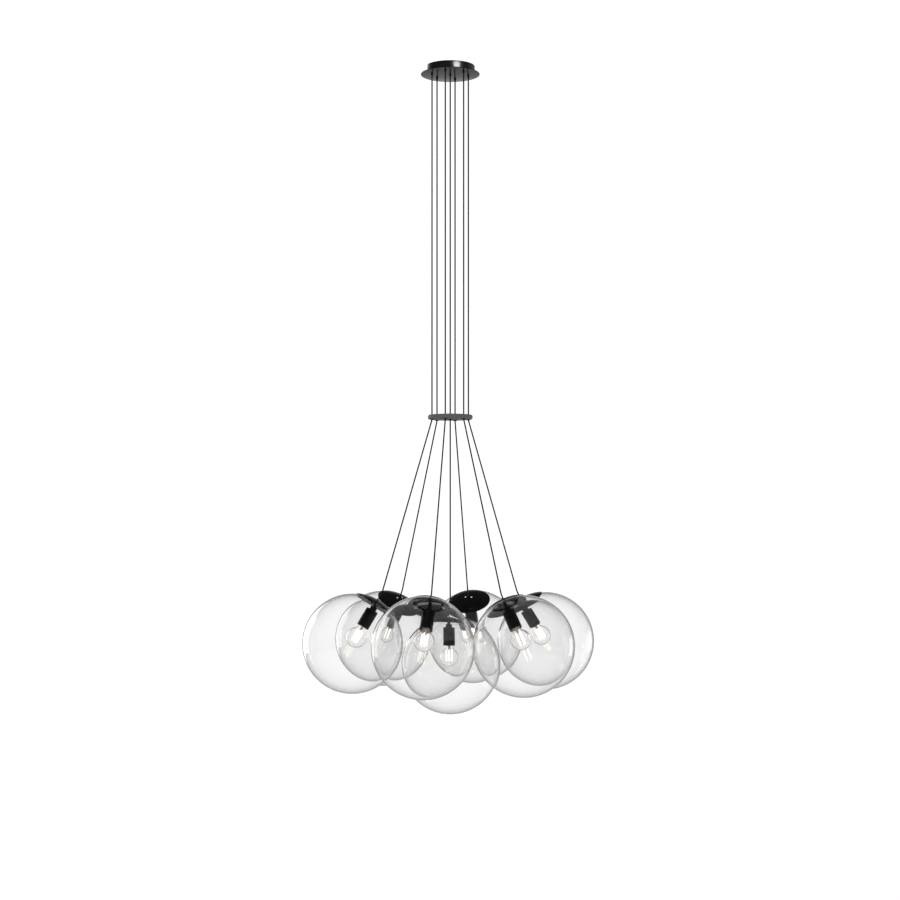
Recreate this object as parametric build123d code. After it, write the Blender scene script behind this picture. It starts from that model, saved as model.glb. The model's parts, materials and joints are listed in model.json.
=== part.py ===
from build123d import *
import math
import os

# Cluster pendant: seven clear glass globes on seven cords from one round ceiling canopy.
# Millimetres, +Z up. The origin is on the ceiling, midway between the bracket's two slots.
# The photograph looks along +Y, so its nearest pendant is the one at -Y.

# ---- whole object ----
PENDANTS_IN_RING = 6
RING_TURN = 15.0  # degrees from +X to the first outer pendant
CORD_D = 3.2
CORD_CIRCLE_D = 84.2  # the six outer cords, in the canopy and in the spacer
CORD_FIT = 0.1  # radial room round a cord in a grip or a bush
SEAT_GAP = 0.3  # between curved faces that lie on each other
THREAD_FIT = 0.05  # radial room of a thread in its hole
HOLE_FIT = 0.1  # radial room of a shank in a plain hole
BEND_SHARE = 0.98  # of the length up to a corner that its arc takes
EDGE_SHARE = 0.45  # of a wall's thickness that a rounded edge may take
SCREW_SLOT_WIDTH = 0.8
SCREW_SLOT_DEPTH = 0.8

# ---- canopy ----
DRUM_MARGIN = 12.9  # from the circle of cords to the outside of the drum
DRUM_WALL = 1.2
DRUM_ROOM = 1.3  # between the terminal block and the middle cord grip
PLATE_OVERHANG = 11.0  # how far the face plate stands out past the drum
PLATE_THICKNESS = 1.5
SHEET_EDGE = 0.6  # rounding of the drum and of the face plate

GRIP_COLLAR_D = 6.8
GRIP_COLLAR_HEIGHT = 4.0
GRIP_COLLAR_EDGE = 1.3
GRIP_SHANK_D = 6.0
GRIP_SHANK_RISE = 5.5  # above the drum's floor
GRIP_NUT_FLATS = 8.0
GRIP_NUT_HEIGHT = 3.0

BRACKET_THICKNESS = 2.0
BRACKET_WIDTH = 22.0
EAR_GAP = 0.9  # from an ear of the bracket to the drum's inside
EAR_WIDTH = 12.0
CEILING_SLOT_SPACING = 68.0
CEILING_SLOT_LENGTH = 16.0
CEILING_SLOT_WIDTH = 4.8
SUPPLY_HOLE_D = 8.0
SIDE_SCREW_D = 4.0
SIDE_SCREW_DROP = 7.0  # below the ceiling
EARTH_SCREW_D = 4.0
EARTH_SCREW_LENGTH = 7.0
EARTH_HEAD_D = 7.0
EARTH_HEAD_HEIGHT = 2.2

BLOCK_LENGTH = 26.0
BLOCK_WIDTH = 15.0
BLOCK_HEIGHT = 7.0
BLOCK_EDGE = 0.8
BLOCK_BORE_DEPTH = 3.5
LEAD_D = 1.6
LEAD_RISE = 3.8  # of the level leads, above the underside of the terminal block
LEAD_FIT = 0.1  # radial room of a lead in its bore

# ---- spacer ----
SPACER_DROP = 780.9  # from the ceiling to the spacer's top face
SPACER_MARGIN = 7.9  # from the circle of cords to the spacer's rim
SPACER_THICKNESS = 10.0
SPACER_EDGE = 3.6
BUSH_D = 7.4
BUSH_FLANGE_D = 9.0
BUSH_FLANGE = 1.2
SWING_RANGE = 30.0  # degrees that an outer pendant swings outward

# ---- pendants, along their own axis ----
GLOBE_D = 220.0
GLOBE_WALL = 2.5
GLOBE_MOUTH_D = 58.0
GLOBE_LIP = 0.8
NEIGHBOUR_GAP = 2.2  # between outer globes
CENTRE_GAP = 7.8  # between the centre globe and each outer one
RING_DROP = 496.5  # from the spacer's underside to the outer globes' centres
OUTER_TILT = 31.5  # degrees that an outer pendant's axis leans out

CAP_D = 97.0
CAP_THICKNESS = 1.2
CAP_SCREW_D = 2.8
CAP_SCREW_HEAD_D = 4.0
CAP_SCREW_HEAD = 1.4
CAP_SCREW_EDGE = 0.35
CAP_SCREW_GAP = 0.4  # from a screw's head to the cord grip's flange

TOP_GRIP_FLANGE_D = 9.2
TOP_GRIP_FLANGE = 1.3
TOP_GRIP_D = 5.4
TOP_GRIP_HEIGHT = 6.6
TOP_GRIP_EDGE = 0.9
NIPPLE_D = 8.0
NIPPLE_LENGTH = 24.5  # from the cap down
NIPPLE_GRIP = 6.0  # of the nipple inside the lampholder's collar
CORD_BEND_RISE = 5.0  # from the grip's top to the bend of the cord
CORD_INSET = 0.5  # from the cord's end to the nipple's

SPRING_SIDE = 2.0  # of the strip on either side of the nipple
SPRING_THICKNESS = 0.8
SPRING_FOOT = 8.5
SPRING_MOUTH_GAP = 1.4  # from the spring's legs to the edge of the glass

SLEEVE_D = 27.6
SLEEVE_EDGE = 1.8
SLEEVE_WALL = 2.2
SLEEVE_HEAD = 13.6  # from the sleeve's top to the inner end of the lamp socket
SLEEVE_LAP = 2.9  # of the sleeve's open end over the lamp's collar
COLLAR_D = 15.2
COLLAR_HEIGHT = 8.7
SOCKET_WALL = 1.6
SOCKET_FIT = 0.07  # radial room of the lamp's screw base
SOCKET_FLOOR = 4.0

BULB_D = 45.0
BULB_GLASS = 0.9
BULB_NECK_D = 19.6
BULB_BLEND = 40.0  # degrees from the lamp's axis to where its neck meets the ball
BULB_COLLAR_HEIGHT = 3.0
BULB_COLLAR_EDGE = 1.5
BULB_BASE_D = 13.9
BULB_BASE_LENGTH = 22.0
BULB_TIP_D = 8.0
BULB_TIP_HEIGHT = 2.5
STEM_D = 6.0
STEM_LENGTH = 11.0
FILAMENTS = 4
FILAMENT_D = 1.8
FILAMENT_LENGTH = 27.0
FILAMENT_CIRCLE_D = 13.0
WIRE_D = 0.9

# ---- radii and levels that follow, in the frame of the whole object ----
cord_r = CORD_D / 2
cord_hole_r = cord_r + CORD_FIT
cord_circle_r = CORD_CIRCLE_D / 2
drum_r = cord_circle_r + DRUM_MARGIN
drum_inner_r = drum_r - DRUM_WALL
plate_r = drum_r + PLATE_OVERHANG
block_top = -BRACKET_THICKNESS
block_low = block_top - BLOCK_HEIGHT
lead_z = block_low + LEAD_RISE
grip_top = block_low - DRUM_ROOM
floor_top = grip_top - GRIP_SHANK_RISE
plate_top = floor_top - DRUM_WALL
plate_low = plate_top - PLATE_THICKNESS
shank_hole_r = GRIP_SHANK_D / 2 + HOLE_FIT
ear_face = drum_inner_r - EAR_GAP
block_side_x = BLOCK_LENGTH / 2
slot_side_x = (CEILING_SLOT_SPACING - CEILING_SLOT_LENGTH) / 2
strip_hole_x = (block_side_x + slot_side_x) / 2
spacer_r = cord_circle_r + SPACER_MARGIN
spacer_top = -SPACER_DROP
spacer_low = spacer_top - SPACER_THICKNESS
pivot_z = spacer_low - BUSH_FLANGE
ring_r = GLOBE_D + NEIGHBOUR_GAP  # a hexagon's radius is its side
ring_z = spacer_low - RING_DROP
centre_z = ring_z - math.sqrt((GLOBE_D + CENTRE_GAP) ** 2 - ring_r**2)
ring_angles = [RING_TURN + step * 360 / PENDANTS_IN_RING for step in range(PENDANTS_IN_RING)]
cord_spots = [
    (cord_circle_r * math.cos(math.radians(a)), cord_circle_r * math.sin(math.radians(a)))
    for a in ring_angles
] + [(0.0, 0.0)]

# ---- heights that follow, on a pendant's own axis above the globe's centre ----
globe_r = GLOBE_D / 2
globe_inner_r = globe_r - GLOBE_WALL
mouth_r = GLOBE_MOUTH_D / 2
cap_inner_r = globe_r + SEAT_GAP
cap_outer_r = cap_inner_r + CAP_THICKNESS
top_grip_low = cap_outer_r
top_grip_top = top_grip_low + TOP_GRIP_FLANGE + TOP_GRIP_HEIGHT
cord_bend = top_grip_top + CORD_BEND_RISE
nipple_low = top_grip_low - NIPPLE_LENGTH
cord_end = nipple_low + CORD_INSET
collar_top = nipple_low + NIPPLE_GRIP
sleeve_top = collar_top - COLLAR_HEIGHT
socket_top = sleeve_top - SLEEVE_HEAD
tip_top = socket_top - SEAT_GAP
base_top = tip_top - BULB_TIP_HEIGHT
base_low = base_top - BULB_BASE_LENGTH
neck_top = base_low - BULB_COLLAR_HEIGHT
sleeve_low = base_low - SLEEVE_LAP
cap_screw_y = (TOP_GRIP_FLANGE_D + CAP_SCREW_HEAD_D) / 2 + CAP_SCREW_GAP
socket_r = BULB_BASE_D / 2 + SOCKET_FIT
ball_r = BULB_D / 2
blend = math.radians(BULB_BLEND)
neck_length = (ball_r * math.sin(blend) - BULB_NECK_D / 2) / math.tan((math.pi / 2 - blend) / 2)
ball_z = neck_top - neck_length - ball_r * math.cos(blend)


def rod(radius, low, high):
    """Upright cylinder from one height to another, on the Z axis."""
    return Pos(0, 0, (low + high) / 2) * Cylinder(radius, high - low)


def at_cords(piece):
    """Copies of a piece, one at each cord."""
    return Compound(children=[Pos(x, y, 0) * piece for x, y in cord_spots])


def soften(piece, radius, thickness):
    """A turned piece of sheet with all its round edges rounded, as far as its wall allows."""
    return fillet(piece.edges().filter_by(GeomType.CIRCLE), min(radius, EDGE_SHARE * thickness))


# ---- canopy ----
def ceiling_bracket():
    """Pressed steel strip with slots for the ceiling screws and an ear at each end."""
    low = -BRACKET_THICKNESS
    strip = Pos(0, 0, low / 2) * Box(2 * ear_face, BRACKET_WIDTH, BRACKET_THICKNESS)
    strip = strip & rod(ear_face, low, 0)
    ear_height = SIDE_SCREW_DROP + SIDE_SCREW_D
    ear = Box(BRACKET_THICKNESS, EAR_WIDTH, ear_height)
    slot = extrude(SlotOverall(CEILING_SLOT_LENGTH, CEILING_SLOT_WIDTH), low)
    for side in (-1, 1):
        strip += Pos(side * (ear_face - BRACKET_THICKNESS / 2), 0, -ear_height / 2) * ear
        strip -= Pos(side * CEILING_SLOT_SPACING / 2, 0, 0) * slot
    strip -= side_hole(SIDE_SCREW_D / 2)
    strip -= Pos(-strip_hole_x, 0, 0) * rod(SUPPLY_HOLE_D / 2, low, 0)
    return strip - Pos(strip_hole_x, 0, 0) * rod(EARTH_SCREW_D / 2, low, 0)


def side_hole(radius):
    """Level bar along X, where the two side screws go."""
    return Pos(0, 0, -SIDE_SCREW_DROP) * Rot(0, 90, 0) * Cylinder(radius, 2 * plate_r)


def canopy_drum():
    """Spun steel cup, open to the ceiling, with a floor that the cord grips go through."""
    shell = rod(drum_r, plate_top, 0)
    lower_edge = shell.edges().group_by(Axis.Z)[0]
    shell = fillet(lower_edge, min(SHEET_EDGE, EDGE_SHARE * DRUM_WALL))
    shell -= rod(drum_inner_r, floor_top, 0)
    shell -= at_cords(rod(shank_hole_r, plate_top, floor_top))
    return shell - side_hole(SIDE_SCREW_D / 2 + HOLE_FIT)


def canopy_plate():
    """Wide flat face plate, clamped under the drum by the cord grips."""
    plate = soften(rod(plate_r, plate_low, plate_top), SHEET_EDGE, PLATE_THICKNESS)
    return plate - at_cords(rod(shank_hole_r, plate_low, plate_top))


def canopy_cord_grips():
    """Seven screwed grips that carry the cords in the canopy."""
    low = plate_low - GRIP_COLLAR_HEIGHT
    collar = rod(GRIP_COLLAR_D / 2, low, plate_low)
    collar = fillet(collar.edges().group_by(Axis.Z)[0], GRIP_COLLAR_EDGE)
    grip = collar + rod(GRIP_SHANK_D / 2, plate_low, grip_top)
    return at_cords(grip - rod(cord_hole_r, low, grip_top))


def canopy_nuts():
    """Locknuts of the cord grips, on the drum's floor."""
    hexagon = RegularPolygon(GRIP_NUT_FLATS / math.sqrt(3), 6)
    nut = Pos(0, 0, floor_top) * extrude(hexagon, GRIP_NUT_HEIGHT)
    hole = rod(GRIP_SHANK_D / 2 + THREAD_FIT, floor_top, floor_top + GRIP_NUT_HEIGHT)
    return at_cords(nut - hole)


def canopy_screws():
    """Two grub screws through the drum into the bracket's ears, and the earth screw."""
    inner_x = ear_face - 2 * BRACKET_THICKNESS
    length = drum_r - inner_x
    grub = Rot(0, 90, 0) * Cylinder(SIDE_SCREW_D / 2 - THREAD_FIT, length)
    key = Box(2 * SCREW_SLOT_DEPTH, SIDE_SCREW_D, SCREW_SLOT_WIDTH)
    grub -= Pos(length / 2, 0, 0) * key
    grub = Pos(inner_x + length / 2, 0, -SIDE_SCREW_DROP) * grub
    earth = rod(EARTH_SCREW_D / 2 - THREAD_FIT, -EARTH_SCREW_LENGTH, 0)
    earth += rod(EARTH_HEAD_D / 2, block_top - EARTH_HEAD_HEIGHT, block_top)
    return Compound(children=[grub, Rot(0, 0, 180) * grub, Pos(strip_hole_x, 0, 0) * earth])


def block_reach(angle):
    """Distance from the middle of the terminal block to its side, along an angle."""
    across = abs(math.cos(math.radians(angle)))
    along = abs(math.sin(math.radians(angle)))
    return min(block_side_x / across, BLOCK_WIDTH / 2 / along)


def terminal_block():
    """Moulded block under the bracket, with a bore for each lead."""
    block = Pos(0, 0, (block_top + block_low) / 2) * Box(BLOCK_LENGTH, BLOCK_WIDTH, BLOCK_HEIGHT)
    block = chamfer(block.edges().filter_by(Axis.Z), BLOCK_EDGE)
    bore = Pos(0, 0, lead_z) * Rot(0, 90, 0) * Cylinder(LEAD_D / 2 + LEAD_FIT, 2 * BLOCK_BORE_DEPTH)
    for angle in ring_angles:
        block -= Rot(0, 0, angle) * Pos(block_reach(angle), 0, 0) * bore
    return block - rod(LEAD_D / 2 + LEAD_FIT, block_low, block_low + BLOCK_BORE_DEPTH / 2)


def lamp_leads():
    """A thin lead from each cord's end to the terminal block."""
    bend_radius = BEND_SHARE * (lead_z - grip_top)
    leads = []
    for angle in ring_angles:
        end_r = block_reach(angle) - BLOCK_BORE_DEPTH + SEAT_GAP
        route = FilletPolyline(
            (cord_circle_r, 0, grip_top),
            (cord_circle_r, 0, lead_z),
            (end_r, 0, lead_z),
            radius=bend_radius,
        )
        leads.append(Rot(0, 0, angle) * tube(route, LEAD_D / 2))
    print("lead bend radius", round(bend_radius, 2))
    leads.append(rod(LEAD_D / 2, grip_top, block_low + BLOCK_BORE_DEPTH / 2 - SEAT_GAP))
    return Compound(children=leads)


# ---- cords and spacer ----
def tube(route, radius):
    """Round solid along a route."""
    return sweep(Plane(route @ 0, z_dir=route % 0) * Circle(radius), path=route)


def cord_lean():
    """Degrees that an outer cord leans from the vertical below the spacer."""
    bend_r, bend_z = ring_axis(cord_bend)
    return math.degrees(math.atan2(bend_r - cord_circle_r, pivot_z - bend_z))


def swing_room():
    """How far from the pivot the side of a cord reaches when its pendant is swung out."""
    return cord_r / math.cos(math.radians(cord_lean() + SWING_RANGE)) + CORD_FIT


def upper_cords():
    """The straight stretches of the seven cords, from the canopy to their pivots."""
    return at_cords(rod(cord_r, pivot_z + swing_room(), grip_top))


def spacer_disc():
    """Turned disc that gathers the cords, with a rounded rim."""
    disc = soften(rod(spacer_r, spacer_low, spacer_top), SPACER_EDGE, SPACER_THICKNESS)
    return disc - at_cords(rod(BUSH_D / 2 + THREAD_FIT, spacer_low, spacer_top))


def spacer_bushes():
    """Soft bushes in the spacer, flanged below, each with a rounded mouth for its cord."""
    bush = rod(BUSH_D / 2, spacer_low, spacer_top)
    bush += rod(BUSH_FLANGE_D / 2, pivot_z, spacer_low)
    bush -= rod(cord_hole_r, pivot_z, spacer_top)
    return at_cords(bush - Pos(0, 0, pivot_z) * Sphere(swing_room()))


# ---- one pendant about its own axis, with the globe's centre at the origin ----
def cap():
    """Spun steel dome that lies on the glass round its mouth."""
    dome = Sphere(cap_outer_r) - Sphere(cap_inner_r)
    dome = dome & rod(CAP_D / 2, 0, cap_outer_r)
    dome -= rod(NIPPLE_D / 2 + HOLE_FIT, 0, cap_outer_r)
    return dome - cap_screw_holes(HOLE_FIT)


def cap_screw_holes(fit):
    """Bars where the two screws of the cap go."""
    bar = rod(CAP_SCREW_D / 2 + fit, globe_inner_r / 2, 2 * cap_outer_r)
    return Compound(children=[Pos(0, side * cap_screw_y, 0) * bar for side in (-1, 1)])


def cap_cord_grip():
    """Cord grip on the cap, in one piece with the threaded nipple below it."""
    flange_top = top_grip_low + TOP_GRIP_FLANGE
    body = rod(TOP_GRIP_D / 2, flange_top, top_grip_top)
    body = fillet(body.edges().group_by(Axis.Z)[-1], TOP_GRIP_EDGE)
    grip = body + rod(TOP_GRIP_FLANGE_D / 2, top_grip_low, flange_top)
    grip += rod(NIPPLE_D / 2, nipple_low, top_grip_low)
    return grip - rod(cord_hole_r, nipple_low, top_grip_top)


def glass_spring():
    """Sprung strip under the cap whose feet reach under the glass, and its two screws."""
    width = NIPPLE_D + 2 * SPRING_SIDE
    outer_r = cap_inner_r - SEAT_GAP
    reach = mouth_r - SPRING_MOUTH_GAP
    strip = Sphere(outer_r) - Sphere(outer_r - SPRING_THICKNESS)
    strip = strip & Pos(0, 0, outer_r) * Box(width, 2 * reach, outer_r)
    leg_y = reach - SPRING_THICKNESS / 2
    leg_top = math.sqrt(outer_r**2 - reach**2 - (width / 2) ** 2)
    foot_end = reach - SPRING_THICKNESS + SPRING_FOOT
    foot_y = foot_end - SPRING_FOOT / 2
    foot_top = math.sqrt(globe_inner_r**2 - foot_end**2 - (width / 2) ** 2) - SEAT_GAP
    foot_z = foot_top - SPRING_THICKNESS / 2
    leg = Box(width, SPRING_THICKNESS, leg_top - foot_z)
    foot = Box(width, SPRING_FOOT, SPRING_THICKNESS)
    for side in (-1, 1):
        strip += Pos(0, side * leg_y, (leg_top + foot_z) / 2) * leg
        strip += Pos(0, side * foot_y, foot_z) * foot
    strip -= rod(NIPPLE_D / 2 + HOLE_FIT, 0, cap_outer_r)
    strip -= cap_screw_holes(THREAD_FIT)
    screw = cap_screw()
    screws = [Pos(0, side * cap_screw_y, 0) * screw for side in (-1, 1)]
    return Compound(children=[strip] + screws)


def cap_screw():
    """Cheese-head screw through the cap into the sprung strip, on its own axis."""
    head_low = math.sqrt(cap_outer_r**2 - (cap_screw_y - CAP_SCREW_HEAD_D / 2) ** 2)
    head_top = head_low + CAP_SCREW_HEAD
    shank_low = cap_inner_r - SEAT_GAP - 2 * SPRING_THICKNESS
    screw = rod(CAP_SCREW_HEAD_D / 2, head_low, head_top)
    screw = fillet(screw.edges().group_by(Axis.Z)[-1], CAP_SCREW_EDGE)
    screw += rod(CAP_SCREW_D / 2, shank_low, head_low)
    slot = Box(CAP_SCREW_HEAD_D, SCREW_SLOT_WIDTH, 2 * SCREW_SLOT_DEPTH)
    return screw - Pos(0, 0, head_top) * slot


def globe():
    """Blown clear glass ball with a round mouth at the top."""
    shell = Sphere(globe_r) - Sphere(globe_inner_r)
    return soften(shell - rod(mouth_r, 0, globe_r), GLOBE_LIP, GLOBE_WALL)


def lampholder():
    """Moulded lampholder: collar on the nipple, closed head, open skirt, screw socket."""
    holder = rod(SLEEVE_D / 2, sleeve_low, sleeve_top)
    holder = fillet(holder.edges().group_by(Axis.Z)[-1], SLEEVE_EDGE)
    holder += rod(COLLAR_D / 2, sleeve_top, collar_top)
    socket = rod(socket_r + SOCKET_WALL, base_low + SEAT_GAP, socket_top)
    holder -= rod(SLEEVE_D / 2 - SLEEVE_WALL, sleeve_low, socket_top) - socket
    holder -= rod(socket_r, sleeve_low, socket_top)
    holder -= rod(NIPPLE_D / 2, socket_top + SOCKET_FLOOR, nipple_low)
    return holder - rod(NIPPLE_D / 2 + THREAD_FIT, nipple_low, collar_top)


def bulb_form(inset):
    """The form inside the lamp's glass, drawn in from its outer face: a ball and its neck."""
    r = ball_r - inset
    join = (r * math.sin(blend), 0, ball_z + r * math.cos(blend))
    downhill = (-math.cos(blend), 0, math.sin(blend))
    ball = ThreePointArc((0, 0, ball_z - r), (r, 0, ball_z), join)
    neck = TangentArc(join, (BULB_NECK_D / 2 - inset, 0, neck_top), tangent=downhill)
    back = Polyline(neck @ 1, (0, 0, neck_top), (0, 0, ball_z - r))
    return revolve(make_face(Wire([ball, neck] + list(back.edges()))), Axis.Z)


def filament_mount():
    """Glass stem with the filaments on their wires, in one piece."""
    low = neck_top - STEM_LENGTH
    top = low + WIRE_D
    bar_low = top - FILAMENT_LENGTH
    spread = FILAMENT_CIRCLE_D / 2
    mount = rod(STEM_D / 2, low, neck_top)
    mount += Pos(0, 0, (bar_low + low) / 2) * Box(WIRE_D, WIRE_D, low - bar_low)
    arm = Pos(spread / 2, 0, WIRE_D / 2) * Box(spread, WIRE_D, WIRE_D)
    bar = Pos(spread, 0, 0) * rod(FILAMENT_D / 2, bar_low, top)
    side = bar + Pos(0, 0, low) * arm + Pos(0, 0, bar_low) * arm
    for turn in range(FILAMENTS):
        mount += Rot(0, 0, turn * 360 / FILAMENTS) * side
    return mount


def bulb():
    """Clear LED filament ball lamp: glass, screw base, and the stem with its filaments."""
    glass = bulb_form(0) - bulb_form(BULB_GLASS)
    base = rod(BULB_NECK_D / 2, neck_top, base_low)
    base = chamfer(base.edges().group_by(Axis.Z)[-1], BULB_COLLAR_EDGE)
    base += rod(BULB_BASE_D / 2, base_low, base_top) + rod(BULB_TIP_D / 2, base_top, tip_top)
    return Compound(children=[glass, base, filament_mount()])


# ---- where a pendant hangs ----
def ring_axis(height):
    """(distance from the object's axis, z) of a height on an outer pendant's axis."""
    tilt = math.radians(OUTER_TILT)
    return ring_r - height * math.sin(tilt), ring_z + height * math.cos(tilt)


def outer_cord():
    """Taut cord of an outer pendant, in the plane of +X: from its pivot, over a bend above
    the grip, to its end inside the nipple."""
    pivot = (cord_circle_r, 0, pivot_z)
    bend_r, bend_z = ring_axis(cord_bend)
    end_r, end_z = ring_axis(cord_end)
    half_turn = math.radians(abs(OUTER_TILT - cord_lean())) / 2
    bend_radius = BEND_SHARE * CORD_BEND_RISE / math.tan(half_turn)
    route = FilletPolyline(pivot, (bend_r, 0, bend_z), (end_r, 0, end_z), radius=bend_radius)
    print("outer cord: bend radius", round(bend_radius, 1))
    return finished_cord(route, pivot)


def centre_cord():
    """Straight cord of the centre pendant, from its pivot into the nipple."""
    pivot = (0, 0, pivot_z)
    return finished_cord(Line(pivot, (0, 0, centre_z + cord_end)), pivot)


def finished_cord(route, pivot):
    """Cord along a route, round at the pivot, with its volume checked against its length."""
    cord = tube(route, cord_r)
    share = cord.volume / (math.pi * cord_r**2 * route.length)
    print("cord length", round(route.length, 1), "volume over section x length", round(share, 4))
    return cord + Pos(*pivot) * Sphere(cord_r)


def main():
    """Make every piece and write one STEP file for each node."""
    os.makedirs("parts", exist_ok=True)
    shared = (
        ceiling_bracket,
        canopy_drum,
        canopy_plate,
        canopy_cord_grips,
        canopy_nuts,
        canopy_screws,
        terminal_block,
        lamp_leads,
        upper_cords,
        spacer_disc,
        spacer_bushes,
    )
    nodes = {make.__name__: make() for make in shared}
    own = (cap, cap_cord_grip, glass_spring, globe, lampholder, bulb)
    pendant = {make.__name__: make() for make in own}
    hung = Pos(ring_r, 0, ring_z) * Rot(0, -OUTER_TILT, 0)
    slanting = outer_cord()
    for number, angle in enumerate(ring_angles, 1):
        turn = Rot(0, 0, angle)
        nodes[f"lower_cord_{number}"] = turn * slanting
        for name, piece in pendant.items():
            nodes[f"{name}_{number}"] = turn * hung * piece
    last = PENDANTS_IN_RING + 1
    nodes[f"lower_cord_{last}"] = centre_cord()
    for name, piece in pendant.items():
        nodes[f"{name}_{last}"] = Pos(0, 0, centre_z) * piece
    for name, piece in nodes.items():
        export_step(piece, f"parts/{name}.step")
    print(len(nodes), "nodes; outer cords lean", round(cord_lean(), 2), "degrees")
    print("pivots at z", round(pivot_z, 2), "radius", round(cord_circle_r, 2))
    print("outer globes at radius", round(ring_r, 2), "z", round(ring_z, 2))
    print("centre globe at z", round(centre_z, 2), "bulb's ball at", round(ball_z, 2))


main()
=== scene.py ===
import bmesh
import bpy
import json
import math
from mathutils import Matrix, Vector


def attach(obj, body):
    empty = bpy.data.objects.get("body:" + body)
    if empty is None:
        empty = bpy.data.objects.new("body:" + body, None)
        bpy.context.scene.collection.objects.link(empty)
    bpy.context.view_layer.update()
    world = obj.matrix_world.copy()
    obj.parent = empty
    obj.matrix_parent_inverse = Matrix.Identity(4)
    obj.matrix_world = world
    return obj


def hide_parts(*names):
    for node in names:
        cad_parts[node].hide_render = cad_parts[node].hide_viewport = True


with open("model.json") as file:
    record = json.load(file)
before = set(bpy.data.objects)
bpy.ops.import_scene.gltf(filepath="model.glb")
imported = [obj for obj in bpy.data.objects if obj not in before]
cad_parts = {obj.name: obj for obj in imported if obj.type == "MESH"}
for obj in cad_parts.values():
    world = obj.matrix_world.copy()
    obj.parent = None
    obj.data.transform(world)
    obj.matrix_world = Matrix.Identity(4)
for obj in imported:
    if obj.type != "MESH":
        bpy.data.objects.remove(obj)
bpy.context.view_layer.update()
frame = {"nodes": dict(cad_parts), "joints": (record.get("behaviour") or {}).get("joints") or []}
bpy.context.scene.view_settings.view_transform = "Standard"


# ---- Camera ----
# A long lens four metres off, at the height of the lower cords. It looks up by less than a degree,
# and the film is shifted for the rest, so uprights stay all but upright and the lamp is framed.
EYE_DISTANCE = 4.023
EYE_HEIGHT = -1.057
EYE_TILT = 0.91
FILM_PIXELS = 900
FILM_WIDTH = 36
LENS = 72.16
FILM_RISE = 60 / FILM_PIXELS
FILM_SIDE = -0.24 / FILM_PIXELS
camera = bpy.data.objects.new("camera", bpy.data.cameras.new("camera"))
camera.location = (0, -EYE_DISTANCE, EYE_HEIGHT)
camera.rotation_euler = (math.radians(90 + EYE_TILT), 0, 0)
camera.data.lens = LENS
camera.data.sensor_width = FILM_WIDTH
camera.data.shift_x = FILM_SIDE
camera.data.shift_y = FILM_RISE
camera.data.clip_end = 60
bpy.context.scene.collection.objects.link(camera)
bpy.context.scene.camera = camera


# ---- Studio ----
# A white room: soft lamps before the object, a white backdrop behind it and a pale floor where
# the floor of a real room would be. Reflections find the backdrop bright and the room dim, and
# two lights turned to the canopy alone draw the bright band and the bright edge of its drum.
def linear(hex_colour):
    """Linear colour of an sRGB hex value."""
    parts = [int(hex_colour[i : i + 2], 16) / 255 for i in (1, 3, 5)]
    return [p / 12.92 if p <= 0.04045 else ((p + 0.055) / 1.055) ** 2.4 for p in parts] + [1.0]


def add(tree, kind, settings=None, **sockets):
    """One more node: its settings, and each input's value or the output it is linked from."""
    made = tree.nodes.new(kind)
    for name, value in (settings or {}).items():
        setattr(made, name, value)
    for name, value in sockets.items():
        numbered = name[0] == "i" and name[1:].isdigit()
        socket = made.inputs[int(name[1:]) if numbered else name.replace("_", " ")]
        if isinstance(value, bpy.types.NodeSocket):
            tree.links.new(value, socket)
        else:
            socket.default_value = value
    return made


SMOOTH = {"interpolation_type": "SMOOTHSTEP"}
RADIAN = 57.3
ROOM_LIGHT = 0.6
DARK_SIDE = 0.03
PALE_SIDE = 0.36
BACKDROP_SEEN = 1.07
FLOOR_SEEN = 1.08
FLOOR_MIRRORED = 0.42
FLOOR_GLOW = 0.9


def chain(tree, operation, first, *others):
    """Several values taken together by one operation, such as a sum."""
    for other in others:
        first = add(tree, "ShaderNodeMath", {"operation": operation}, i0=first, i1=other).outputs[0]
    return first


def card(tree, around, up, sides, heights, strength):
    """A soft-edged bright card of the room: its sides and heights, in degrees and as a sine."""
    edges = []
    for value, low, high, start, end in (
        (around, sides[0] - 6, sides[0] + 2, 0, 1),
        (around, sides[1] - 2, sides[1] + 6, 1, 0),
        (up, heights[0] - 0.08, heights[0], 0, 1),
        (up, heights[1], heights[1] + 0.08, 1, 0),
    ):
        edge = add(tree, "ShaderNodeMapRange", SMOOTH, Value=value, From_Min=low, From_Max=high,
                   To_Min=start, To_Max=end)
        edges.append(edge.outputs[0])
    return chain(tree, "MULTIPLY", strength, *edges)


def seen_rays(tree, straight, reflected):
    """How far a ray is one that sees the white room, and the strength that it sees there."""
    path = add(tree, "ShaderNodeLightPath")
    once = add(tree, "ShaderNodeMapRange", SMOOTH, Value=path.outputs["Glossy Depth"],
               From_Min=0.4, From_Max=0.6)
    bright = chain(tree, "MAXIMUM", path.outputs["Is Camera Ray"],
                   path.outputs["Is Transmission Ray"], path.outputs["Is Glossy Ray"])
    seen = add(tree, "ShaderNodeMix", {"data_type": "FLOAT"}, i0=once.outputs[0],
               i2=straight, i3=reflected)
    return bright, seen.outputs[0]


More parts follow.
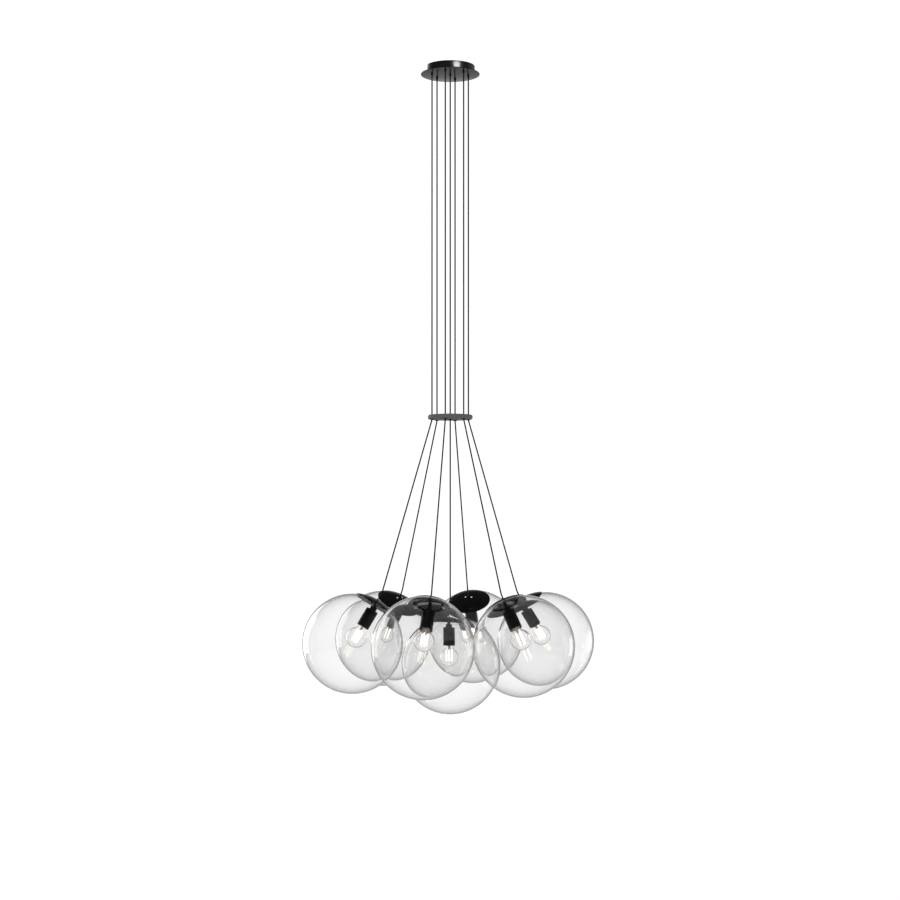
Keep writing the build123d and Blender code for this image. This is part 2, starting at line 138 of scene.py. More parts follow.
world = bpy.data.worlds.new("white_room")
bpy.context.scene.world = world
world.use_nodes = True
tree = world.node_tree
tree.nodes.clear()
direction = add(tree, "ShaderNodeTexCoord").outputs["Generated"]
axes = add(tree, "ShaderNodeSeparateXYZ", Vector=direction)
away, up = axes.outputs["Y"], axes.outputs["Z"]
bearing = add(tree, "ShaderNodeMath", {"operation": "ARCTAN2"}, i0=axes.outputs["X"], i1=away)
around = add(tree, "ShaderNodeMath", {"operation": "MULTIPLY"}, i0=bearing.outputs[0], i1=RADIAN).outputs[0]
depth = add(tree, "ShaderNodeMapRange", SMOOTH, Value=away, From_Min=-0.1, From_Max=0.5,
            To_Min=DARK_SIDE, To_Max=PALE_SIDE)
ceiling = add(tree, "ShaderNodeMapRange", SMOOTH, Value=up, From_Min=0.25, From_Max=0.55,
              To_Min=1.0, To_Max=0.06)
backdrop = add(tree, "ShaderNodeMapRange", SMOOTH, Value=away, From_Min=0.983, From_Max=0.998,
               To_Min=0, To_Max=0.6)
room = add(tree, "ShaderNodeMath", {"operation": "MULTIPLY"}, i0=depth.outputs[0], i1=ceiling.outputs[0])
mirrored = chain(tree, "ADD", room.outputs[0], backdrop.outputs[0],
                 card(tree, around, up, (-58, -24), (-0.25, 0.4), 1.2),
                 card(tree, around, up, (40, 56), (-0.25, 0.05), 1.0))
bright, seen = seen_rays(tree, BACKDROP_SEEN, mirrored)
level = add(tree, "ShaderNodeMix", {"data_type": "FLOAT"}, i0=bright, i2=ROOM_LIGHT, i3=seen).outputs[0]
glow = add(tree, "ShaderNodeBackground", Color=(1, 1, 1, 1), Strength=level)
add(tree, "ShaderNodeOutputWorld", Surface=glow.outputs[0])

LIT_HEIGHT = -0.9
canopy_only = bpy.data.collections.new("lit_by_the_canopy_lights")
for name, stood_at, wide, high, watts, drum_only in (
    ("softbox_right", (1.9, -2.9, 0.6), 1.2, 1.2, 42, False),
    ("softbox_left", (-2.6, -2.4, 0.2), 1.5, 1.5, 34, False),
    ("strip_light", (1.6, -2.7, 0.75), 1.5, 1.3, 130, True),
    ("edge_light", (-1.3, 2.7, 0.8), 1.6, 1.2, 26, True),
):
    light = bpy.data.objects.new(name, bpy.data.lights.new(name, "AREA"))
    light.data.shape = "RECTANGLE"
    light.data.size = wide
    light.data.size_y = high
    light.data.energy = watts
    light.location = stood_at
    aim = Vector((0, 0, LIT_HEIGHT)) - Vector(stood_at)
    light.rotation_euler = aim.to_track_quat("-Z", "Y").to_euler()
    light.visible_glossy = drum_only
    light.visible_transmission = False
    if drum_only:
        light.light_linking.receiver_collection = canopy_only
    bpy.context.scene.collection.objects.link(light)

FLOOR_DROP = 2.5
FLOOR_HALF = 5.0
signs = ((-1, -1), (1, -1), (1, 1), (-1, 1))
floor_mesh = bpy.data.meshes.new("floor")
corners = [(x * FLOOR_HALF, y * FLOOR_HALF, -FLOOR_DROP) for x, y in signs]
floor_mesh.from_pydata(corners, [], [(0, 1, 2, 3)])
floor = bpy.data.objects.new("floor", floor_mesh)
bpy.context.scene.collection.objects.link(floor)
paper = bpy.data.materials.new("pale_studio_floor")
paper.use_nodes = True
tree = paper.node_tree
tree.nodes.clear()
bright, seen = seen_rays(tree, FLOOR_SEEN, FLOOR_MIRRORED)
share = add(tree, "ShaderNodeMath", {"operation": "MULTIPLY"}, i0=bright, i1=FLOOR_GLOW).outputs[0]
white = add(tree, "ShaderNodeEmission", Color=(1, 1, 1, 1), Strength=seen)
matt = add(tree, "ShaderNodeBsdfDiffuse", Color=linear("#f4f4f2"))
mixed = add(tree, "ShaderNodeMixShader", i0=share, i1=matt.outputs[0], i2=white.outputs[0])
add(tree, "ShaderNodeOutputMaterial", Surface=mixed.outputs[0])
floor_mesh.materials.append(paper)


# ---- Upper cords ----
# Seven round mains cords, drawn black PVC on twin cores, 3.2 mm thick. Each leaves its grip
# under the canopy and hangs straight down into its bush in the spacer.
MM = 0.001
PENDANTS = range(1, 8)
CORD_D = 3.2
CORD_HOLE_R = 1.7
PIVOT_RISE = 2.42
CORD_TOP = -10.3
GRIP_MOUTH = -22.5


def material(name):
    """An empty material and its tree."""
    made = bpy.data.materials.new(name)
    made.use_nodes = True
    made.node_tree.nodes.clear()
    return made, made.node_tree


pvc, tree = material("extruded_pvc_sheath")
# extruded PVC: a soft dull shine along the cord, broken by a faint unevenness of the die
within = add(tree, "ShaderNodeTexCoord").outputs["Object"]
uneven = add(tree, "ShaderNodeTexNoise", Vector=within, Scale=900.0, Detail=2.0).outputs["Fac"]
tone = add(tree, "ShaderNodeMix", {"data_type": "RGBA"}, i0=uneven,
           i6=linear("#19191b"), i7=linear("#1f1f21")).outputs[2]
dull = add(tree, "ShaderNodeMapRange", Value=uneven, To_Min=0.42, To_Max=0.55).outputs[0]
raised = add(tree, "ShaderNodeBump", Height=uneven, Strength=0.05, Distance=0.0001).outputs[0]
skin = add(tree, "ShaderNodeBsdfPrincipled", Base_Color=tone, Roughness=dull, IOR=1.53, Normal=raised)
add(tree, "ShaderNodeOutputMaterial", Surface=skin.outputs[0])


def cord_curve(name, points, finish):
    """A round cord on one open spline, in metres."""
    curve = bpy.data.curves.new(name, "CURVE")
    curve.dimensions = "3D"
    curve.bevel_depth = CORD_D / 2 * MM
    curve.bevel_resolution = 5
    curve.resolution_u = 16
    curve.use_fill_caps = True
    spline = curve.splines.new("NURBS")
    spline.points.add(len(points) - 1)
    for knot, point in zip(spline.points, points):
        knot.co = (*point, 1)
    spline.order_u = 3
    spline.use_endpoint_u = True
    curve.materials.append(finish)
    made = bpy.data.objects.new(name, curve)
    bpy.context.scene.collection.objects.link(made)
    return made


joints = {joint["name"]: joint for joint in frame["joints"]}
pivots = {k: Vector(joints[f"pendant_{k}_swing"]["pos_m"]) for k in PENDANTS}
for k in PENDANTS:
    x, y, z = pivots[k]
    top, low = CORD_TOP * MM, z + PIVOT_RISE * MM
    run = [(x, y, top), (x, y, (top + low) / 2), (x, y, low)]
    cord = cord_curve(f"cord_above_{k}", run, pvc)
    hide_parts("upper_cords")
    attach(cord, "canopy")


# ---- Lower cords ----
# The same seven cords below the spacer, pulled tight by their globes: six slant out and bend
# over into the grips on the caps, the seventh hangs straight to the middle globe.
AXIS_BEND = 124.4
AXIS_END = 87.5
BEND_DIAMETERS = 6
stands = {}
for k in PENDANTS:
    turn = joints[f"bulb_{k}_turn"]
    up = Vector(turn["axis"]).normalized()
    outward = Vector((pivots[k].x, pivots[k].y, 0))
    across = Vector((0, 1, 0))
    if outward.length >= MM:
        across = Vector((-outward.y, outward.x, 0)).normalized()
    stand = Matrix((across.cross(up), across, up)).transposed().to_4x4()
    stand.translation = Vector(turn["pos_m"])
    stands[k] = stand
    bend = stand @ Vector((0, 0, AXIS_BEND * MM))
    end = stand @ Vector((0, 0, AXIS_END * MM))
    slack = (bend - pivots[k]).normalized() * BEND_DIAMETERS * CORD_D * MM
    run = [pivots[k], (pivots[k] + bend) / 2, bend - slack, bend, end]
    cord = cord_curve(f"cord_below_{k}", run, pvc)
    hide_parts(f"lower_cord_{k}")
    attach(cord, f"pendant_{k}")


# ---- Canopy drum ----
# The part of the canopy against the ceiling: a spun steel cup, open above, under a black stoving
# enamel. Seven small holes in its floor take the cord grips, two in its wall the side screws.
DRUM_R = 55.0
DRUM_WALL = 1.2
DRUM_ROUND = 0.55
DRUM_LIP = 0.3
PLATE_TOP = -17.0


def arc(centre_r, centre_z, radius, start, end, steps):
    """Points (radius, height) on an arc, from one angle to another in degrees."""
    angles = [math.radians(start + (end - start) * i / steps) for i in range(steps + 1)]
    return [(centre_r + radius * math.cos(a), centre_z + radius * math.sin(a)) for a in angles]


def turned(name, outline, finish, rounds=96, loop=True, keen=30):
    """A mesh turned about Z from an outline of (radius, height) in millimetres, faces outward."""
    sides = zip(outline, outline[1:] + outline[:1])
    if sum(r0 * z1 - r1 * z0 for (r0, z0), (r1, z1) in sides) < 0:
        outline = outline[::-1]
    rings, points, faces = [], [], []
    for r, z in outline:
        if r < 1e-6:
            rings.append([len(points)] * rounds)
            points.append((0, 0, z * MM))
            continue
        rings.append(list(range(len(points), len(points) + rounds)))
        for i in range(rounds):
            a = 2 * math.pi * i / rounds
            points.append((r * MM * math.cos(a), r * MM * math.sin(a), z * MM))
    pairs = list(zip(rings, rings[1:])) + ([(rings[-1], rings[0])] if loop else [])
    for low, high in pairs:
        for i in range(rounds):
            j = (i + 1) % rounds
            corners = [low[i], low[j], high[j], high[i]]
            face = [v for n, v in enumerate(corners) if v not in corners[:n]]
            if len(face) > 2:
                faces.append(face)
    mesh = bpy.data.meshes.new(name)
    mesh.from_pydata(points, [], faces)
    mesh.materials.append(finish)
    mesh.shade_smooth()
    mesh.set_sharp_from_angle(angle=math.radians(keen))
    return mesh


def place(name, mesh, body, stand=None, replaces=()):
    """A piece of the object with this mesh, set where its stand says and riding on a body."""
    mesh = mesh.copy()
    if stand is not None:
        mesh.transform(stand)
    made = bpy.data.objects.new(name, mesh)
    bpy.context.scene.collection.objects.link(made)
    if replaces:
        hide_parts(*replaces)
    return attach(made, body)


enamel, tree = material("black_stoving_enamel")
# sprayed and baked enamel: deep black with a clear gloss and a fine, faint orange peel
within = add(tree, "ShaderNodeTexCoord").outputs["Object"]
peel = add(tree, "ShaderNodeTexNoise", Vector=within, Scale=650.0, Detail=1.0, Roughness=0.4).outputs["Fac"]
cloud = add(tree, "ShaderNodeTexNoise", Vector=within, Scale=40.0, Detail=3.0).outputs["Fac"]
tone = add(tree, "ShaderNodeMix", {"data_type": "RGBA"}, i0=cloud,
           i6=linear("#0b0b0c"), i7=linear("#121213")).outputs[2]
shine = add(tree, "ShaderNodeMapRange", Value=cloud, To_Min=0.16, To_Max=0.26).outputs[0]
raised = add(tree, "ShaderNodeBump", Height=peel, Strength=0.03, Distance=0.0001).outputs[0]
skin = add(tree, "ShaderNodeBsdfPrincipled", Base_Color=tone, Roughness=shine, IOR=1.5, Normal=raised)
add(tree, "ShaderNodeOutputMaterial", Surface=skin.outputs[0])

inner = DRUM_R - DRUM_WALL
outline = [(0, PLATE_TOP)] + arc(DRUM_R - DRUM_ROUND, PLATE_TOP + DRUM_ROUND, DRUM_ROUND, -90, 0, 5)
outline += arc(DRUM_R - DRUM_LIP, -DRUM_LIP, DRUM_LIP, 0, 90, 3)
outline += [(inner, 0), (inner, PLATE_TOP + DRUM_WALL), (0, PLATE_TOP + DRUM_WALL)]
drum = turned("canopy_drum_shell", outline, enamel, 160, loop=False)
shell = place("canopy_drum_shell", drum, "canopy", replaces=["canopy_drum"])
canopy_only.objects.link(shell)


# ---- Canopy plate ----
# The wide round face plate under the drum: flat sheet steel with its edge rounded over, in the
# same black enamel. The seven cord grips clamp it to the drum's floor.
PLATE_R = 66.0
PLATE_T = 1.5
PLATE_ROUND = 0.6
PLATE_LOW = PLATE_TOP - PLATE_T
outline = [(0, PLATE_TOP)] + arc(PLATE_R - PLATE_ROUND, PLATE_TOP - PLATE_ROUND, PLATE_ROUND, 90, 0, 5)
outline += arc(PLATE_R - PLATE_ROUND, PLATE_LOW + PLATE_ROUND, PLATE_ROUND, 0, -90, 5)
outline += [(0, PLATE_LOW)]
plate = turned("canopy_face_plate", outline, enamel, 192, loop=False)
place("canopy_face_plate", plate, "canopy", replaces=["canopy_plate"])


# ---- Canopy cord grips ----
# Seven screwed grips of black nylon, each a rounded collar under the plate with a shank up
# through the plate and the drum's floor. Moulded, with a soft even shine.
nylon, tree = material("moulded_black_nylon")
# injection-moulded nylon: near black, satin, with the fine spark texture of its tool
within = add(tree, "ShaderNodeTexCoord").outputs["Object"]
grain = add(tree, "ShaderNodeTexNoise", Vector=within, Scale=2500.0, Detail=2.0).outputs["Fac"]
tone = add(tree, "ShaderNodeMix", {"data_type": "RGBA"}, i0=grain,
           i6=linear("#070708"), i7=linear("#0e0e0f")).outputs[2]
shine = add(tree, "ShaderNodeMapRange", Value=grain, To_Min=0.36, To_Max=0.46).outputs[0]
raised = add(tree, "ShaderNodeBump", Height=grain, Strength=0.12, Distance=0.0001).outputs[0]
skin = add(tree, "ShaderNodeBsdfPrincipled", Base_Color=tone, Roughness=shine, IOR=1.53, Normal=raised)
add(tree, "ShaderNodeOutputMaterial", Surface=skin.outputs[0])

outline = [(CORD_HOLE_R, CORD_TOP), (3.0, CORD_TOP), (3.0, PLATE_LOW), (3.1, PLATE_LOW)]
outline += [(3.1, PLATE_LOW - 0.3), (2.6, PLATE_LOW - 0.7), (2.3, PLATE_LOW - 3.0)]
outline += arc(1.8, GRIP_MOUTH + 0.4, 0.4, 0, -90, 4) + [(CORD_HOLE_R, GRIP_MOUTH)]
grip = turned("canopy_grip", outline, nylon, 40)
for k in PENDANTS:
    stand = Matrix.Translation((pivots[k].x, pivots[k].y, 0))
    place(f"canopy_grip_{k}", grip, "canopy", stand, ["canopy_cord_grips"])


# ---- Spacer ----
# A disc that keeps the cords together over the globes: turned aluminium under a satin black
# lacquer, its rim well rounded, its colour a painted grey sheen. It is held on the cords by the bushes
# pressed into it.
lacquer_painted_sheen, tree = material("satin_black_lacquer_painted_grey_sheen")
# thin sprayed black lacquer on turned metal, with painted sheen: a dark, even grey base colour stands in
# for its broad reflection, under a wide soft shine
within = add(tree, "ShaderNodeTexCoord").outputs["Object"]
mist = add(tree, "ShaderNodeTexNoise", Vector=within, Scale=900.0, Detail=2.0).outputs["Fac"]
# painted sheen: the black lacquer is given a mid grey base colour in place of the reflection it shows
tone = add(tree, "ShaderNodeMix", {"data_type": "RGBA"}, i0=mist,
           i6=linear("#525254"), i7=linear("#5e5e60")).outputs[2]
shine = add(tree, "ShaderNodeMapRange", Value=mist, To_Min=0.46, To_Max=0.56).outputs[0]
skin = add(tree, "ShaderNodeBsdfPrincipled", Base_Color=tone, Roughness=shine, IOR=1.5)
add(tree, "ShaderNodeOutputMaterial", Surface=skin.outputs[0])

SPACER_TOP = -780.9
SPACER_LOW = -790.9
SPACER_R = 50.0
SPACER_ROUND = 3.6
rounded_at = SPACER_R - SPACER_ROUND
outline = [(0, SPACER_TOP)] + arc(rounded_at, SPACER_TOP - SPACER_ROUND, SPACER_ROUND, 90, 0, 8)
outline += arc(rounded_at, SPACER_LOW + SPACER_ROUND, SPACER_ROUND, 0, -90, 8) + [(0, SPACER_LOW)]
disc = turned("spacer_disc_body", outline, lacquer_painted_sheen, 160, loop=False)
place("spacer_disc_body", disc, "canopy", replaces=["spacer_disc"])


# ---- Spacer bushes ----
# Seven soft black rubber bushes pressed into the spacer, flanged below, each with a rounded
# mouth where its cord hangs out and can swing.
rubber, tree = material("moulded_black_rubber")
# moulded rubber: dull black with a fine bloom that lightens it in patches
within = add(tree, "ShaderNodeTexCoord").outputs["Object"]
bloom = add(tree, "ShaderNodeTexNoise", Vector=within, Scale=700.0, Detail=3.0).outputs["Fac"]
tone = add(tree, "ShaderNodeMix", {"data_type": "RGBA"}, i0=bloom,
           i6=linear("#111112"), i7=linear("#1c1c1d")).outputs[2]
dull = add(tree, "ShaderNodeMapRange", Value=bloom, To_Min=0.6, To_Max=0.8).outputs[0]
skin = add(tree, "ShaderNodeBsdfPrincipled", Base_Color=tone, Roughness=dull, IOR=1.52)
add(tree, "ShaderNodeOutputMaterial", Surface=skin.outputs[0])

BUSH_R = 3.7
FLANGE_T = 1.2
MOUTH_ANGLES = (0, 0.2, 0.4, 0.6, 0.792)
flange_low = SPACER_LOW - FLANGE_T
outline = [(CORD_HOLE_R, SPACER_TOP), (BUSH_R, SPACER_TOP), (BUSH_R, SPACER_LOW)]
outline += arc(4.1, SPACER_LOW - 0.8, 0.4, 0, -90, 4)
outline += [(PIVOT_RISE * math.cos(a), flange_low + PIVOT_RISE * math.sin(a)) for a in MOUTH_ANGLES]
bush = turned("spacer_bush", outline, rubber, 40)
for k in PENDANTS:
    stand = Matrix.Translation((pivots[k].x, pivots[k].y, 0))
    place(f"spacer_bush_{k}", bush, "canopy", stand, ["spacer_bushes"])


# ---- Caps ----
# Shallow domes of spun steel, black enamel inside and out. Each lies on the glass round its mouth
# and hangs from the cord grip in its middle.
CAP_INNER_R = 110.3
CAP_OUTER_R = 111.5
CAP_R = 48.5
CAP_HOLE_R = 4.1
edge_out = math.degrees(math.acos(CAP_R / CAP_OUTER_R))
edge_in = math.degrees(math.acos(CAP_R / CAP_INNER_R))
hole_out = math.degrees(math.acos(CAP_HOLE_R / CAP_OUTER_R))
hole_in = math.degrees(math.acos(CAP_HOLE_R / CAP_INNER_R))
outline = arc(0, 0, CAP_OUTER_R, hole_out, edge_out, 24)
outline += arc(0, 0, CAP_INNER_R, edge_in, hole_in, 24)
dome = turned("cap_dome", outline, enamel, 128)
for k in PENDANTS:
    place(f"cap_dome_{k}", dome, f"pendant_{k}", stands[k], [f"cap_{k}"])


# ---- Cap cord grips ----
# The grip that holds the cord where it enters the cap, black nylon, with the threaded nipple
# below it that carries the lampholder.
NIPPLE_R = 4.0
NIPPLE_LOW = 87.0
outline = [(CORD_HOLE_R, 119.4)] + arc(1.8, 118.5, 0.9, 90, 0, 5) + [(2.7, 112.8)]
outline += arc(4.2, 112.4, 0.4, 90, 0, 4) + [(4.6, CAP_OUTER_R), (NIPPLE_R, CAP_OUTER_R)]
outline += [(NIPPLE_R, NIPPLE_LOW), (CORD_HOLE_R, NIPPLE_LOW)]
top_grip = turned("cap_grip", outline, nylon, 40)
for k in PENDANTS:
    place(f"cap_grip_{k}", top_grip, f"pendant_{k}", stands[k], [f"cap_cord_grip_{k}"])


# ---- Glass springs and cap screws ----
# A sprung zinc-plated strip under each cap, bent to hold the glass by its shoulders, and two
# slotted round-head screws, zinc-flake coated, their pale tone a painted highlight, down through the cap
# into the strip.
zinc, tree = material("zinc_plated_steel")
# bright zinc: a cool grey metal, a little uneven in tone and shine
within = add(tree, "ShaderNodeTexCoord").outputs["Object"]
uneven = add(tree, "ShaderNodeTexNoise", Vector=within, Scale=400.0, Detail=2.0).outputs["Fac"]
tone = add(tree, "ShaderNodeMix", {"data_type": "RGBA"}, i0=uneven,
           i6=linear("#a9abad"), i7=linear("#c6c8c9")).outputs[2]
shine = add(tree, "ShaderNodeMapRange", Value=uneven, To_Min=0.22, To_Max=0.36).outputs[0]
skin = add(tree, "ShaderNodeBsdfPrincipled", Base_Color=tone, Roughness=shine, Metallic=1.0)
add(tree, "ShaderNodeOutputMaterial", Surface=skin.outputs[0])
for name in ("ceiling_bracket", "canopy_nuts", "canopy_screws"):
    frame["nodes"][name].data.materials.clear()
    frame["nodes"][name].data.materials.append(zinc)

flake_painted_highlight, tree = material("zinc_flake_coat_painted_highlight")
# baked zinc-flake coat with painted highlight: a pale, nearly white grey painted as the heads' glints, with
# a soft sheen and darker flecks
within = add(tree, "ShaderNodeTexCoord").outputs["Object"]
fleck = add(tree, "ShaderNodeTexNoise", Vector=within, Scale=1200.0, Detail=2.0).outputs["Fac"]
# painted highlight: the near-white tone stands in for the bright glints on the screw heads
tone = add(tree, "ShaderNodeMix", {"data_type": "RGBA"}, i0=fleck,
           i6=linear("#dcdedf"), i7=linear("#eceded")).outputs[2]
shine = add(tree, "ShaderNodeMapRange", Value=fleck, To_Min=0.3, To_Max=0.4).outputs[0]
skin = add(tree, "ShaderNodeBsdfPrincipled", Base_Color=tone, Roughness=shine, IOR=1.5)
add(tree, "ShaderNodeOutputMaterial", Surface=skin.outputs[0])

STRIP_R = 110.0
STRIP_HALF = 6.0
STRIP_T = 0.8
STRIP_REACH = 27.6
FOOT_Z = 98.7
FOOT_END = 35.3
ACROSS = (-6, -3, 0, 3, 6)
ARM_ROWS = (5.6, 10, 14, 18, 22, 25.5, STRIP_REACH)
LEG_ROWS = ((STRIP_REACH, 104.5), (STRIP_REACH, 100.2), (STRIP_REACH + 0.5, 99.2),
            (STRIP_REACH + 1.4, FOOT_Z), (FOOT_END, FOOT_Z))
EYE_R = 4.1
EYE_STEPS = 32
SCREW_Y = 7.0
SLOT_HALF = 0.3
bm = bmesh.new()


def on_cap(x, y):
    """A point of the strip's upper face, which follows the inside of the cap."""
    return bm.verts.new((x * MM, y * MM, math.sqrt(STRIP_R**2 - x * x - y * y) * MM))


ring = [2 * math.pi * (i + 0.5) / EYE_STEPS for i in range(EYE_STEPS)]
eye = [on_cap(EYE_R * math.cos(a), EYE_R * math.sin(a)) for a in ring]
square = []
for a in ring:
    reach = STRIP_HALF / max(abs(math.cos(a)), abs(math.sin(a)))
    square.append(on_cap(reach * math.cos(a), reach * math.sin(a)))
for i in range(EYE_STEPS):
    j = (i + 1) % EYE_STEPS
    bm.faces.new((eye[i], square[i], square[j], eye[j]))
for side in (-1, 1):
    rows = [[on_cap(x, side * y) for x in ACROSS] for y in ARM_ROWS]
    for y, z in LEG_ROWS:
        rows.append([bm.verts.new((x * MM, side * y * MM, z * MM)) for x in ACROSS])
    for near, far in zip(rows, rows[1:]):
        for i in range(len(ACROSS) - 1):
            quad = (near[i], near[i + 1], far[i + 1], far[i])
            bm.faces.new(quad if side > 0 else quad[::-1])
spring = bpy.data.meshes.new("glass_spring_strip")
bm.to_mesh(spring)
bm.free()
spring.materials.append(zinc)
spring.shade_smooth()
spring.set_sharp_from_angle(angle=math.radians(40))

head_outline = [(0, 112.9), (0.7, 112.86), (1.3, 112.7), (1.8, 112.35), (2.0, 111.95)]
head_outline += [(2.0, 111.35), (0, 111.35)]
shank_outline = [(0, 112.0), (1.9, 112.0), (1.9, 111.3), (1.4, 111.3), (1.4, 108.4), (0, 108.2)]
shank = turned("cap_screw_shank", shank_outline, flake_painted_highlight, 32, loop=False)
heads = []
for side in (-1, 1):
    bm = bmesh.new()
    bm.from_mesh(turned("cap_screw_head", head_outline, flake_painted_highlight, 48, loop=False))
    bmesh.ops.bisect_plane(bm, geom=bm.verts[:] + bm.edges[:] + bm.faces[:], dist=1e-7, clear_outer=True,
                           plane_co=(side * SLOT_HALF * MM, 0, 0), plane_no=(-side, 0, 0))
    bmesh.ops.holes_fill(bm, edges=[edge for edge in bm.edges if edge.is_boundary])
    half = bpy.data.meshes.new("cap_screw_head_half")
    bm.to_mesh(half)
    bm.free()
    half.materials.append(flake_painted_highlight)
    half.shade_smooth()
    half.set_sharp_from_angle(angle=math.radians(35))
    heads.append(half)
for k in PENDANTS:
    body = f"pendant_{k}"
    strip = place(f"glass_spring_strip_{k}", spring, body, stands[k], [f"glass_spring_{k}"])
    sheet = strip.modifiers.new("sheet", "SOLIDIFY")
    sheet.thickness = STRIP_T * MM
    sheet.offset = -1
    for number, y in enumerate((-SCREW_Y, SCREW_Y), 1):
        beside = stands[k] @ Matrix.Translation((0, y * MM, 0))
        place(f"cap_screw_{k}_{number}", shank, body, beside)
        for side, half in enumerate(heads, 1):
            place(f"cap_screw_{k}_{number}_head_{side}", half, body, beside)


# ---- Wiring in the canopy ----
# A terminal block of moulded white polyamide on the bracket, and a brown PVC lead to it from each
# cord. The canopy hides them all.
block_white, tree = material("moulded_white_polyamide")
# glass-filled polyamide: an off-white with a dry, slightly mottled face
within = add(tree, "ShaderNodeTexCoord").outputs["Object"]
mottle = add(tree, "ShaderNodeTexNoise", Vector=within, Scale=500.0, Detail=3.0).outputs["Fac"]
tone = add(tree, "ShaderNodeMix", {"data_type": "RGBA"}, i0=mottle,
           i6=linear("#dcdad2"), i7=linear("#eceae4")).outputs[2]
skin = add(tree, "ShaderNodeBsdfPrincipled", Base_Color=tone, Roughness=0.5, IOR=1.53)
add(tree, "ShaderNodeOutputMaterial", Surface=skin.outputs[0])
lead_pvc, tree = material("brown_pvc_insulation")
# thin extruded insulation: brown, with a low waxy shine
within = add(tree, "ShaderNodeTexCoord").outputs["Object"]
mottle = add(tree, "ShaderNodeTexNoise", Vector=within, Scale=600.0, Detail=2.0).outputs["Fac"]
tone = add(tree, "ShaderNodeMix", {"data_type": "RGBA"}, i0=mottle,
           i6=linear("#5a3820"), i7=linear("#6c4528")).outputs[2]
skin = add(tree, "ShaderNodeBsdfPrincipled", Base_Color=tone, Roughness=0.4, IOR=1.53)
add(tree, "ShaderNodeOutputMaterial", Surface=skin.outputs[0])
for name, finish in (("terminal_block", block_white), ("lamp_leads", lead_pvc)):
    frame["nodes"][name].data.materials.clear()
    frame["nodes"][name].data.materials.append(finish)


# ---- Globes ----
# Mouth-blown clear soda glass, 220 mm across with a 2.5 mm wall, cut and fire-polished at the
# mouth. The wall bends what lies behind it a little and greys it at the outline.
GLOBE_R = 110.0
GLOBE_WALL = 2.5
MOUTH_R = 29.0
LIP_TURN = 0.4
LIP_BULGE = 0.75
LIP_RISE = 0.2
STRAIGHT_DEPTH = 11.5


def glass_wall(tree, wall, tint):
    """A glass wall that shadow, diffuse and the deepest rays go straight through, tinted."""
    clear = add(tree, "ShaderNodeBsdfTransparent", Color=(tint, tint, tint, 1))
    path = add(tree, "ShaderNodeLightPath")
    deep = add(tree, "ShaderNodeMath", {"operation": "GREATER_THAN"},
               i0=path.outputs["Ray Depth"], i1=STRAIGHT_DEPTH)
    through = chain(tree, "MAXIMUM", deep.outputs[0], path.outputs["Is Shadow Ray"],
                    path.outputs["Is Diffuse Ray"])
    mixed = add(tree, "ShaderNodeMixShader", i0=through, i1=wall.outputs[0], i2=clear.outputs[0])
    return mixed.outputs[0]


glass, tree = material("blown_clear_glass")
# blown glass: water clear, brightest at the rim, a touch of grey where the wall is seen edge on;
# shadow rays and the deepest rays go straight through, as light does through a thin wall
within = add(tree, "ShaderNodeTexCoord").outputs["Object"]
wave = add(tree, "ShaderNodeTexNoise", Vector=within, Scale=7.0, Detail=1.0, Roughness=0.3).outputs["Fac"]
raised = add(tree, "ShaderNodeBump", Height=wave, Strength=0.02, Distance=0.001).outputs[0]
wall = add(tree, "ShaderNodeBsdfPrincipled", Base_Color=(1, 1, 1, 1), Roughness=0.0, IOR=1.5,
           Transmission_Weight=1.0, Normal=raised)
grey = add(tree, "ShaderNodeVolumeAbsorption", Color=linear("#8f9290"), Density=1.5)
add(tree, "ShaderNodeOutputMaterial", Surface=glass_wall(tree, wall, 0.97), Volume=grey.outputs[0])

inner = GLOBE_R - GLOBE_WALL
mouth = math.degrees(math.acos(MOUTH_R / GLOBE_R))
mouth_in = math.degrees(math.acos(MOUTH_R / inner))
outline = arc(0, 0, GLOBE_R, -90, mouth - LIP_TURN, 120)
inside = arc(0, 0, inner, mouth_in - LIP_TURN, -90, 120)
out_r, out_z = outline[-1]
in_r, in_z = inside[0]
for t in (0.12, 0.3, 0.5, 0.7, 0.88):
    outline.append(((1 - t) * out_r + t * in_r - LIP_BULGE * math.sin(math.pi * t),
                    (1 - t) * out_z + t * in_z + LIP_RISE * math.sin(math.pi * t)))
outline += inside
ball = turned("glass_globe", outline, glass, 192, loop=False, keen=80)
for k in PENDANTS:
    place(f"glass_globe_{k}", ball, f"pendant_{k}", stands[k], [f"globe_{k}"])


# ---- Lampholders ----
# Phenolic lampholders, moulded black: a collar on the nipple, a rounded shoulder and a plain
# round skirt, open below, with the screw socket inside.
SLEEVE_R = 14.0
SLEEVE_TOP = 85.6
SLEEVE_LOW = 43.0
BORE_R = 11.6
SOCKET_R = 8.62
SOCKET_BORE_R = 7.1
SOCKET_LOW = 46.3
SOCKET_TOP = 70.7
outline = [(4.05, 93.0)] + arc(7.2, 92.6, 0.4, 90, 0, 4)
outline += arc(8.2, SLEEVE_TOP + 0.6, 0.6, 180, 270, 4)
outline += arc(SLEEVE_R - 1.8, SLEEVE_TOP - 1.8, 1.8, 90, 0, 8)
outline += arc(SLEEVE_R - 0.4, SLEEVE_LOW + 0.4, 0.4, 0, -90, 4)
outline += arc(BORE_R + 0.4, SLEEVE_LOW + 0.4, 0.4, -90, -180, 4)
outline += [(BORE_R, SOCKET_TOP), (SOCKET_R, SOCKET_TOP), (SOCKET_R, SOCKET_LOW)]
outline += [(SOCKET_BORE_R, SOCKET_LOW), (SOCKET_BORE_R, SOCKET_TOP), (0, SOCKET_TOP)]
outline += [(0, 74.7), (4.0, 74.7), (4.05, NIPPLE_LOW)]
holder = turned("lampholder_body", outline, nylon, 96, keen=35)
